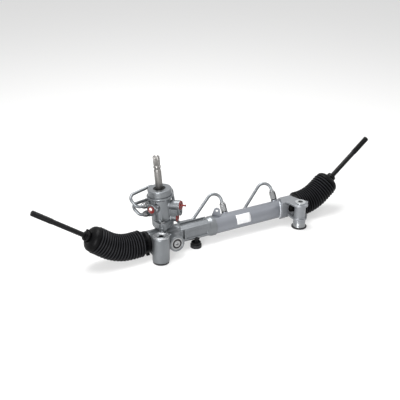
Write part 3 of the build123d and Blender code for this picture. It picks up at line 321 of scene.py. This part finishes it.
label_start = 231.0 * MM
label_end = 272.0 * MM
label_low = -7.0
label_high = 56.0
label_lift = 0.15 * MM
label_thickness = 0.12 * MM
label_columns = 8
label_bends = 24
# Coated label paper: a soft white with a slight sheen
label_paper = surface("coated_label_paper", ("#D2D3D5", "#D8D9DA"), 0.0, 0.45, 0.02, 2.0, 0.0)
label_rows = [[on_tube(x, angle, tube_radius + label_lift)
               for angle in spread(label_low, label_high, label_bends)]
              for x in spread(label_start, label_end, label_columns)]
label = skin("blank_label", label_rows, label_paper, closed=False)
thickness = label.modifiers.new("paper", "SOLIDIFY")
thickness.thickness = label_thickness
thickness.offset = 1.0
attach(label, "housing")


# Right bracket: pressed steel sheet, painted with the tube and held on its end by one long
# weld bead. The bead runs round the front of the tube, and slants with the bracket's edge.
# Silver paint over weld spatter: the tube's paint, rougher and less even
spattered_coat = surface("silver_paint_over_weld_spatter", ("#75777B", "#8B8E92"), 0.6, 0.36, 0.08, 2.2, 0.14,
                         patch_mm=9.0)
recast("right_bracket", spattered_coat, 0.7, 2)

# Weld metal: brighter than the paint, in ripples a little under 2 mm apart
weld_metal = surface("ground_weld_bead", ("#A6A9AD", "#C4C6C9"), 0.7, 0.34, 0.08, 1.5, 0.05)
weld_foot_x = 372.0 * MM
weld_slant = 0.404
weld_radius = 1.7 * MM
weld_rise = 0.6 * MM
weld_ripple = 0.45 * MM
ripple_turn = 0.85
wander_turn = 0.23
weld_low = -62.0
weld_high = 78.0
weld_steps = 240
weld_sides = 12
taper_steps = 6
weld_rows = []
for step, angle in enumerate(spread(weld_low, weld_high, weld_steps)):
    centre = on_tube(0, angle, tube_radius + weld_rise)
    centre.x = weld_foot_x + weld_slant * (centre.y - rack_y)
    off_tube = Vector((0, centre.y - rack_y, centre.z)).normalized()
    wander = 0.7 + 0.3 * math.sin(step * wander_turn)
    taper = min(1.0, 0.25 + min(step, weld_steps - step) / taper_steps)
    bead = taper * (weld_radius + weld_ripple * math.sin(step * ripple_turn) * wander)
    weld_rows.append([centre + bead * (math.cos(a) * off_tube + math.sin(a) * Vector((1, 0, 0)))
                      for a in around(weld_sides)])
weld = skin("bracket_weld", weld_rows, weld_metal, capped=True)
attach(weld, "housing")


# Pressure pipes: two drawn steel pipes from the tower to the ends of the cylinder, bent
# cold, zinc plated and passivated, and held by flare nuts over a rubber ring.
# Passivated zinc plate: a medium grey metal, patchy and half glossy
zinc_pipe = surface("passivated_zinc_plate", ("#686B6E", "#7E8184"), 0.8, 0.36, 0.07, 1.2, 0.02,
                    patch_mm=9.0)
dress(zinc_pipe, "left_chamber_pipe", "right_chamber_pipe")
dress(bush_rubber, "port_seals")


# Input shaft: turned steel, bare and faintly brown, that takes the steering column. It has a
# splined tip with a locking groove and flat below it, and turns in a seal in the cap.
# Bare turned steel: a warm grey with a fine grain
bare_steel = surface("bare_turned_steel", ("#6F6D6B", "#8B8987"), 0.9, 0.33, 0.08, 0.7, 0.02,
                     patch_mm=12.0)
joint = {j["name"]: j for j in frame["joints"]}
tower_foot = Vector(joint["pinion_turn"]["pos_m"])
tower_way = Vector(joint["pinion_turn"]["axis"]).normalized()
shaft_radius = 9.0
groove_radius = 7.6
spline_radius = 8.25
spline_depth = 0.75
spline_count = 36
shaft_tip = 208.0
tip_chamfer = 1.2
flat_distance = 6.9
flat_angle = math.radians(-95)


def spline(angle):
    return spline_radius - spline_depth * (0.5 - 0.5 * math.cos(spline_count * angle))


def flat_side(angle):
    away = math.cos(angle - flat_angle)
    return min(shaft_radius, flat_distance / away) if away > 0.1 else shaft_radius


# From the foot: the flat, the locking groove, the relief below the splines, and the hollow tip
shaft_profile = [(49.5, shaft_radius),
                 (158.0, shaft_radius), (158.3, flat_side), (169.0, flat_side), (169.3, shaft_radius),
                 (172.0, shaft_radius), (172.8, groove_radius), (177.5, groove_radius), (178.3, shaft_radius),
                 (182.0, shaft_radius), (183.0, groove_radius), (185.2, groove_radius), (186.0, spline),
                 (206.4, spline), (shaft_tip, spline_radius - tip_chamfer), (shaft_tip, 5.4),
                 (shaft_tip - 1.6, 4.6), (shaft_tip - 2.2, 2.4), (shaft_tip - 7.0, 2.2)]
shaft = turned("splined_input_shaft", standing(tower_foot, tower_way), shaft_profile, bare_steel,
               sides=spline_count * 6)
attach(shaft, "input_shaft")
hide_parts("input_shaft")

# Nitrile rubber of the shaft's seal: black and a little shiny, with a lip up to the cap's face
seal_rubber = surface("nitrile_seal_rubber", ("#050505", "#090909"), 0.0, 0.45, 0.04, 1.0, 0.01,
                      specular=0.15)
seal_profile = [(118.2, 9.3), (124.2, 9.2), (125.2, 10.0), (124.9, 11.4), (124.3, 12.2), (125.2, 13.2),
                (125.2, 14.4), (124.6, 14.9), (118.2, 14.9)]
shaft_seal = turned("lipped_shaft_seal", standing(tower_foot, tower_way), seal_profile, seal_rubber)
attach(shaft_seal, "housing")
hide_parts("input_shaft_dust_seal")


# Flare nuts: hexagon steel with a turned collar, one at each end of the two pipes. They are
# zinc plated, and squeeze the flared pipe end into its port over a rubber ring.
# Plated hexagon steel: brighter than the pipes, and smooth enough for crisp bands of light
plated_nut = surface("zinc_plated_nut", ("#7B7C7D", "#8C8D8E"), 0.9, 0.26, 0.05, 1.0, 0.01, patch_mm=6.0)
nut_across_flats = 14.0
nut_edge = 0.5
tower_lean = math.radians(4.0)
tower = Matrix.Translation(tower_foot) @ Matrix.Rotation(-tower_lean, 4, "X")
tower = tower @ Matrix.Rotation(-tower_lean, 4, "Y")
tower_port_reach = 30.0 * MM
tower_nut_length = 8.5
tower_nut_seat = 4.0 * MM
tube_port_tilt = math.radians(33.0)
tube_port_way = Vector((0, math.sin(tube_port_tilt), math.cos(tube_port_tilt)))
tube_nut_length = 19.0
tube_nut_seat = 26.6 * MM


def hexagon(angle):
    sixth = math.pi / 3
    return nut_across_flats / 2 / math.cos((angle + sixth / 2) % sixth - sixth / 2)


def flare_nut(name, place, length):
    # The hexagon with its turned ends, then the collar and the neck round the pipe
    profile = [(0.0, 4.2), (0.0, 6.9), (0.7, 7.2), (0.9, hexagon), (length - 0.9, hexagon),
               (length - 0.7, 7.2), (length, 6.9), (length + 0.1, 7.7), (length + 1.9, 7.7),
               (length + 2.4, 7.1), (length + 2.5, 6.1), (length + 5.4, 5.9), (length + 6.0, 5.2),
               (length + 6.0, 4.0)]
    nut = turned(name, place, profile, plated_nut, edge_angle=nut_edge)
    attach(nut, "housing")
    return nut


for name, port_x in (("left_tube_nut", 214.7 * MM), ("right_tube_nut", 365.5 * MM)):
    foot = Vector((port_x, rack_y, 0)) + tube_nut_seat * tube_port_way
    tube_nut = flare_nut(name, standing(foot, tube_port_way), tube_nut_length)
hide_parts("pipe_nuts")
for name, side_shift, level in (("upper_tower_nut", 6.0, 88.0), ("lower_tower_nut", 4.0, 67.0)):
    port = tower @ Matrix.Translation((-tower_port_reach, side_shift * MM, level * MM))
    mouth = port @ Matrix.Rotation(-math.pi / 2, 4, "Y")
    flare_nut(name, mouth @ Matrix.Translation((0, 0, tower_nut_seat)), tower_nut_length)


# Transport plugs: moulded polyethylene, pushed into the three open ports of the tower so that
# no dirt gets in. Each is a thin cup with a rim, and the upper side one has a pull pin.
# Red polyethylene: a deep, waxy red
red_plug = surface("red_polyethylene", ("#5C100D", "#701612"), 0.0, 0.38, 0.03, 1.5, 0.01, specular=0.4)
# Natural polyethylene: milky white
milky_plug = surface("natural_polyethylene", ("#DCDAD6", "#E8E6E2"), 0.0, 0.4, 0.03, 1.5, 0.01)


def port_mouth(angle, reach, level):
    # The face of a port on the tower, with its Z pointing out of the port
    side = Matrix.Rotation(math.radians(angle), 4, "Z") @ Matrix.Translation((reach * MM, 0, level * MM))
    return tower @ side @ Matrix.Rotation(math.pi / 2, 4, "Y")


def plug_profile(radius, centre):
    # A stem in the port, a rolled rim, and a dished face that ends in the given centre
    stem = [(-7.0, 5.2), (-6.4, 5.6), (-0.1, 5.7)]
    rim = [(0.1, radius - 0.3), (0.8, radius), (1.9, radius), (2.5, radius - 0.7), (2.3, radius - 1.7),
           (1.2, radius - 2.2)]
    return stem + rim + centre


pull_pin = [(1.1, 3.4), (1.6, 2.6), (4.0, 2.1), (11.5, 1.8), (12.0, 2.6), (13.4, 2.6), (14.0, 2.0),
            (14.0, 0.3)]
dimple = [(0.9, 3.6), (0.1, 3.0), (-0.6, 1.6), (-0.7, 0.3)]
button = [(0.9, 4.4), (2.4, 3.9), (3.0, 2.8), (3.2, 0.3)]
upper_port = port_mouth(-50, 51, 83)
lower_port = port_mouth(-50, 39, 49)
front_port = port_mouth(-152, 41, 84)
button_place = front_port @ Matrix.Translation((-2.2 * MM, -1.6 * MM, -0.9 * MM))
upper_plug = turned("upper_side_plug", upper_port, plug_profile(11.0, pull_pin), red_plug)
lower_plug = turned("lower_side_plug", lower_port, plug_profile(8.8, dimple), red_plug)
front_plug = turned("front_plug", front_port, plug_profile(9.0, dimple), red_plug)
front_button = turned("front_plug_button", button_place, button, milky_plug)
for plug in (upper_plug, lower_plug, front_plug, front_button):
    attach(plug, "housing")
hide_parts("port_plugs")


# Gear, valve and cylinder parts inside, and the clamps, clips and studs outside: ground and
# blackened steel, light metal, plastic and seals. Most of them show only where a piece is
# taken off, and each takes the finish of its material slot.
# Ground bare steel: a light grey with a clear shine
ground_steel = surface("ground_bare_steel", ("#8B8C8D", "#9C9D9E"), 0.95, 0.28, 0.05, 0.8, 0.01)
# Black phosphated steel: nearly black, with hardly a shine
black_phosphate = surface("black_phosphated_steel", ("#0A0A0B", "#111112"), 0.1, 0.42, 0.06, 1.2, 0.03,
                          specular=0.16)
slot_finish = {"black_rubber": bush_rubber, "seal_plastic": bush_rubber, "bearing_steel": bright_zinc,
               "turned_aluminium": bright_zinc, "machined_steel": ground_steel,
               "blackened_steel": black_phosphate, "clamp_steel": black_phosphate,
               "forged_steel": black_phosphate, "red_plastic": red_plug, "white_plastic": red_plug}
for part in frame["record"]["subparts"]:
    if part["material_slot"] in slot_finish:
        dress(slot_finish[part["material_slot"]], part["node"])
# Seen from outside: plated socket screws, and the steel cap over the lower bearing
dress(plated_nut, "valve_housing_bolts")
dress(zinc_pipe, "pinion_bottom_plug")


# Bellows: one moulded chloroprene rubber sleeve on each side, which keeps water off the ball
# joint. Its folds stand square to a centre line that bends where the tie rod tilts. The wide
# cuff is clamped on the housing or the tube, and the narrow neck closes round the rod.
# Moulded rubber: nearly black, with a thin sheen on the folds
boot_rubber = surface("moulded_black_rubber", ("#050506", "#080809"), 0.0, 0.42, 0.05, 1.0, 0.02,
                      specular=0.07)
# Painted highlight: a grey painted along the crests of the folds, as thin lines of light on them
crest_highlight_grey = "#292A2D"
crest_highlight_share = add(boot_rubber, "ShaderNodeAttribute", attribute_name="painted_crest_highlight").outputs["Fac"]
base_colour = boot_rubber.node_tree.nodes["Principled BSDF"].inputs["Base Color"]
crest_highlight_mix = add(boot_rubber, "ShaderNodeMix",
             {0: crest_highlight_share, 6: base_colour.links[0].from_socket, 7: linear(crest_highlight_grey)}, data_type="RGBA")
boot_rubber.node_tree.links.new(crest_highlight_mix.outputs[2], base_colour)

sides = ("left", "right")
ball_centre = {side: Vector(joint[side + "_rod_tilt"]["pos_m"]) for side in sides}
rod_direction = {side: Vector(joint[side + "_rod_spin"]["axis"]).normalized() for side in sides}
outward = {"left": Vector((-1, 0, 0)), "right": Vector((1, 0, 0))}
spigot_mouth = {"left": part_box("pinion_housing")[0].x, "right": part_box("cylinder_tube")[1].x}

bend_reach = 42.0 * MM
bend_angle = rod_direction["left"].angle(outward["left"])
bend_radius = bend_reach / math.tan(bend_angle / 2)
bend_length = bend_radius * bend_angle
ball_station = bend_length / 2
bellows_end = bend_length + 24.0 * MM
cuff_length = {"left": 12.0 * MM, "right": 32.6 * MM}
cuff_radius = 25.9 * MM
cuff_wall = 2.2 * MM
shoulder_length = 6.0 * MM
fold_root = 28.6 * MM
fold_crest = 33.2 * MM
fold_pitch = 7.15 * MM
fold_samples = 10
fold_roundness = 1.2
# How closely the painted highlight hugs each crest
crest_highlight_edge = 9
dome_length = 17.0 * MM
dome_radius = 31.6 * MM
dome_fullness = 2.4
dome_steps = 14
neck_radius = 10.4 * MM
neck_length = 13.0 * MM
neck_bead = 0.9 * MM
neck_bore = 6.5 * MM
boot_sides = 96
# The rubber hangs a little between its ends, the left bellows more
boot_sag = {"left": 2.4 * MM, "right": 1.0 * MM}


def cuff_station(side):
    # The mouth of the spigot, from the start of the bend
    return bend_reach - abs(spigot_mouth[side] - ball_centre[side].x)


def boot_place(side, station):
    # Where the centre line is at a distance from the start of the bend, and its directions
    lift = (rod_direction[side] - outward[side] * rod_direction[side].dot(outward[side])).normalized()
    turn = min(max(station, 0.0), bend_length) / bend_radius
    along = outward[side] * math.cos(turn) + lift * math.sin(turn)
    centre = ball_centre[side] - outward[side] * bend_reach
    centre += bend_radius * (outward[side] * math.sin(turn) + lift * (1 - math.cos(turn)))
    centre += along * (min(station, 0.0) + max(station - bend_length, 0.0))
    share = (station - cuff_station(side)) / (bellows_end - cuff_station(side))
    centre.z -= boot_sag[side] * math.sin(math.pi * min(max(share, 0.0), 1.0)) ** 2
    return centre, along, along.cross(outward[side].cross(lift).normalized())


def boot_ring(side, station, radius):
    centre, along, across = boot_place(side, station)
    level = along.cross(across)
    return [centre + radius * (math.cos(a) * across + math.sin(a) * level) for a in around(boot_sides)]


def fold_count(side):
    return round((bellows_end - cuff_station(side) - shoulder_length) / fold_pitch)


def fold_station(side, fold):
    first = cuff_station(side) + shoulder_length
    return first + (bellows_end - first) * fold / fold_count(side)


def folds(side, first, last):
    # Round crests and narrow valleys
    outline = []
    for step in range((last - first) * fold_samples + 1):
        fold = first + step / fold_samples
        swell = abs(math.sin(math.pi * fold)) ** fold_roundness
        outline.append((fold_station(side, fold), fold_root + (fold_crest - fold_root) * swell))
    return outline


def boot_piece(name, side, outline):
    # A stretch of the sleeve, with the painted highlight on its crests kept at its points
    piece = skin(name, [boot_ring(side, station, radius) for station, radius in outline], boot_rubber)
    crest_highlight_points = piece.data.attributes.new("painted_crest_highlight", "FLOAT", "POINT")
    heights = [(radius - fold_root) / (fold_crest - fold_root) for _, radius in outline]
    shares = [min(max(height, 0.0), 1.0) ** crest_highlight_edge for height in heights]
    crest_highlight_points.data.foreach_set("value", [share for share in shares for _ in range(boot_sides)])
    return piece


# The closed end: a groove after the last fold, the dome, and a neck with two beads that keep
# the clip in place
dome = [(bellows_end + 0.8 * MM, fold_root), (bellows_end + 1.2 * MM, dome_radius - 1.2 * MM)]
for share in spread(0, 1, dome_steps):
    swell = math.sqrt(1 - share ** dome_fullness)
    dome.append((bellows_end + 1.6 * MM + dome_length * share,
                 neck_radius + (dome_radius - neck_radius) * swell))
dome_tip = bellows_end + dome_length
neck_tip = dome_tip + neck_length
neck = [(dome_tip + 1.2 * MM, neck_radius + neck_bead), (dome_tip + 2.6 * MM, neck_radius),
        (neck_tip - 3.4 * MM, neck_radius), (neck_tip - 2.6 * MM, neck_radius + neck_bead),
        (neck_tip - 0.8 * MM, neck_radius + neck_bead), (neck_tip, neck_radius - 0.4 * MM),
        (neck_tip, neck_bore)]

# Each sleeve is drawn in three stretches: to a fold past the ball, to two folds before the last, and on to the
# neck
for side in sides:
    mouth = cuff_station(side)
    seat = mouth - cuff_length[side]
    ball_fold = math.ceil((ball_station - mouth - shoulder_length) / fold_pitch) + 1
    last_fold = fold_count(side)
    rod_fold = last_fold - 2
    cuff = [(seat, cuff_radius - cuff_wall), (seat, cuff_radius), (mouth - 3 * MM, cuff_radius),
            (mouth - 1 * MM, cuff_radius + 0.5 * MM), (mouth + 2 * MM, fold_root)]
    near = boot_piece(side + "_boot_housing_end", side, cuff + folds(side, 0, ball_fold))
    middle = boot_piece(side + "_boot_middle", side, folds(side, ball_fold, rod_fold))
    far = boot_piece(side + "_boot_rod_end", side, folds(side, rod_fold, last_fold) + dome + neck)
    ring_end, ring_along, _ = boot_place(side, fold_station(side, ball_fold))
    boot_place(side, mouth)[0]
    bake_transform(near)
    rod_end, rod_along, _ = boot_place(side, fold_station(side, rod_fold))
    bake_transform(middle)
    boot_place(side, bellows_end)[0]
    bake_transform(far)
    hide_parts(side + "_boot")


# Tie rods: forged carbon steel, black from its heat treatment, with a ball on the inner end
# inside the bellows. The outer end has a rolled M14 thread of 1.5 mm pitch with a chamfered
# tip. The rod is thinnest just outside the ball, where it has to clear the socket's rim.
rod_length = 240.0
rod_ball_radius = 13.4
ball_rings = 24
rod_neck_radius = 4.9
rod_neck_length = 26.0
shank_radius = 6.2
thread_length = 55.0
thread_foot = rod_length - thread_length
thread_radius = 7.0
thread_pitch = 1.5
thread_depth = 0.8
rings_per_pitch = 8
tip_length = 1.5
rod_sides = 40


def thread_wave(turns):
    # 0 at the root and 1 at the crest of a rolled thread
    share = turns % 1.0
    return min(1.0, 1.25 * (1 - abs(2 * share - 1)))


def thread_ring(height):
    # The radius round the rod at a height on the thread, which narrows at the tip
    tip = 1 - min(1.0, (rod_length - height) / tip_length)

    def radius(angle):
        groove = 1 - thread_wave(height / thread_pitch - angle / (2 * math.pi))
        return thread_radius - thread_depth * (tip + groove)
    return radius


neck_latitude = math.asin(rod_neck_radius / rod_ball_radius)
rod_profile = [(-rod_ball_radius * math.cos(latitude), rod_ball_radius * math.sin(latitude))
               for latitude in spread(0, math.pi, ball_rings)[1:] if math.pi - latitude > neck_latitude]
rod_profile += [(rod_ball_radius + 1.0, rod_neck_radius), (rod_neck_length, rod_neck_radius),
                (rod_neck_length + 2.5, rod_neck_radius + 0.5), (rod_neck_length + 5.0, shank_radius),
                (thread_foot - 2.0, shank_radius), (thread_foot - 1.0, thread_radius - thread_depth)]
thread_steps = int(thread_length / thread_pitch * rings_per_pitch)
rod_profile += [(height, thread_ring(height)) for height in spread(thread_foot, rod_length, thread_steps)]
for side in sides:
    rod = turned(side + "_threaded_rod", standing(ball_centre[side], rod_direction[side]), rod_profile,
                 black_phosphate, sides=rod_sides)
    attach(rod, side + "_rod")
    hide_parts(side + "_tie_rod")
